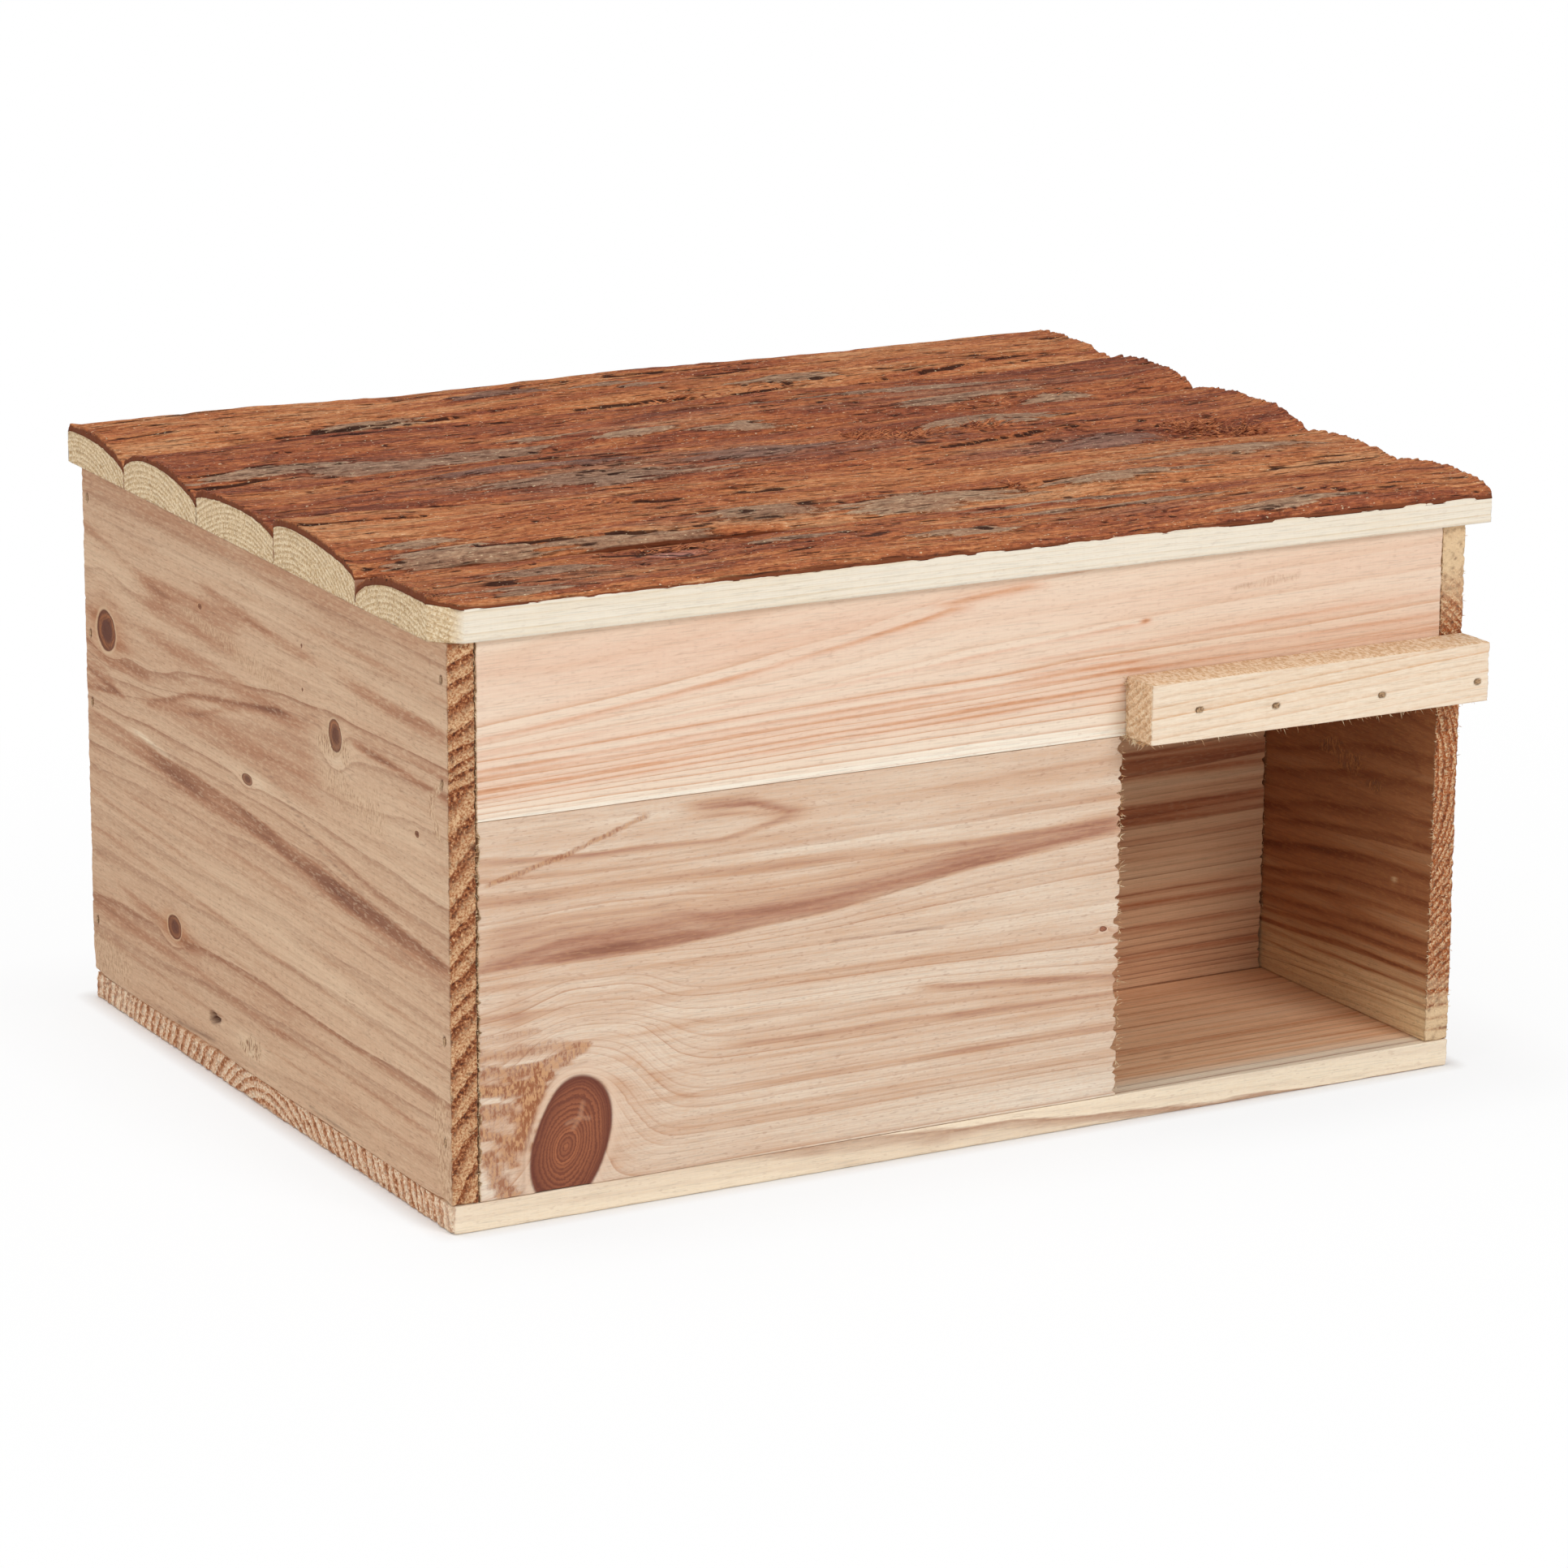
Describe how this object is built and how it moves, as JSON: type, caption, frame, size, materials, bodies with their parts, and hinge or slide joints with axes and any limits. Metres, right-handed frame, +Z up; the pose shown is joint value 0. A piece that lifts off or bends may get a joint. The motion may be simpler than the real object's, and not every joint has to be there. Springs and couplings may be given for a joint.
{
  "type": "hedgehog house",
  "caption": "Softwood hedgehog house on a floor board: side entrance under a batten, inner partition, and a hinged lid of bark-covered slabs.",
  "frame": {"origin": "middle of the floor board's underside, half the box's width and depth from its front and left faces", "axes": "+X to the right seen from the front, towards the entrance; +Y from the front boards to the back; +Z up"},
  "size_m": [0.4135, 0.3317, 0.2236],
  "materials": {
    "pink_softwood": "planed unfinished softwood, pinkish cream with orange-brown growth lines",
    "brown_heartwood": "planed unfinished heartwood, light brown with dark streaks and knots",
    "pale_sapwood": "sawn pale cream sapwood",
    "bark": "fibrous red-brown bark with grey patches",
    "zinc_steel": "zinc-plated steel, slightly dulled"
  },
  "bodies": {
    "house": {"floor_board": "pink_softwood", "left_side_wall": "brown_heartwood", "right_side_wall": "brown_heartwood", "front_upper_board": "pink_softwood", "front_lower_board": "pink_softwood", "back_upper_board": "pink_softwood", "back_lower_board": "pink_softwood", "partition_board": "brown_heartwood", "lintel_batten": "pale_sapwood", "hinge_wall_leaf_left": "zinc_steel", "hinge_wall_leaf_right": "zinc_steel", "hinge_pin_left": "zinc_steel", "hinge_pin_right": "zinc_steel", "hinge_wall_screws": "zinc_steel", "front_brads": "zinc_steel", "back_brads": "zinc_steel", "floor_brads": "zinc_steel", "lintel_brads": "zinc_steel", "partition_brads": "zinc_steel"},
    "roof": {"roof_slab_1": "pale_sapwood", "roof_slab_2": "pale_sapwood", "roof_slab_3": "pale_sapwood", "roof_slab_4": "pale_sapwood", "roof_slab_5": "pale_sapwood", "roof_bark_1": "bark", "roof_bark_2": "bark", "roof_bark_3": "bark", "roof_bark_4": "bark", "roof_bark_5": "bark", "roof_cleat_left": "pink_softwood", "roof_cleat_right": "pink_softwood", "hinge_roof_leaf_left": "zinc_steel", "hinge_roof_leaf_right": "zinc_steel", "hinge_roof_screws": "zinc_steel", "cleat_brads": "zinc_steel"}
  },
  "joints": [
    {"name": "roof_hinge", "type": "hinge", "parent": "house", "child": "roof", "pos_m": [0, 0.1575, 0.20513], "axis": [-1, 0, 0], "range_deg": [0, 180]}
  ]
}
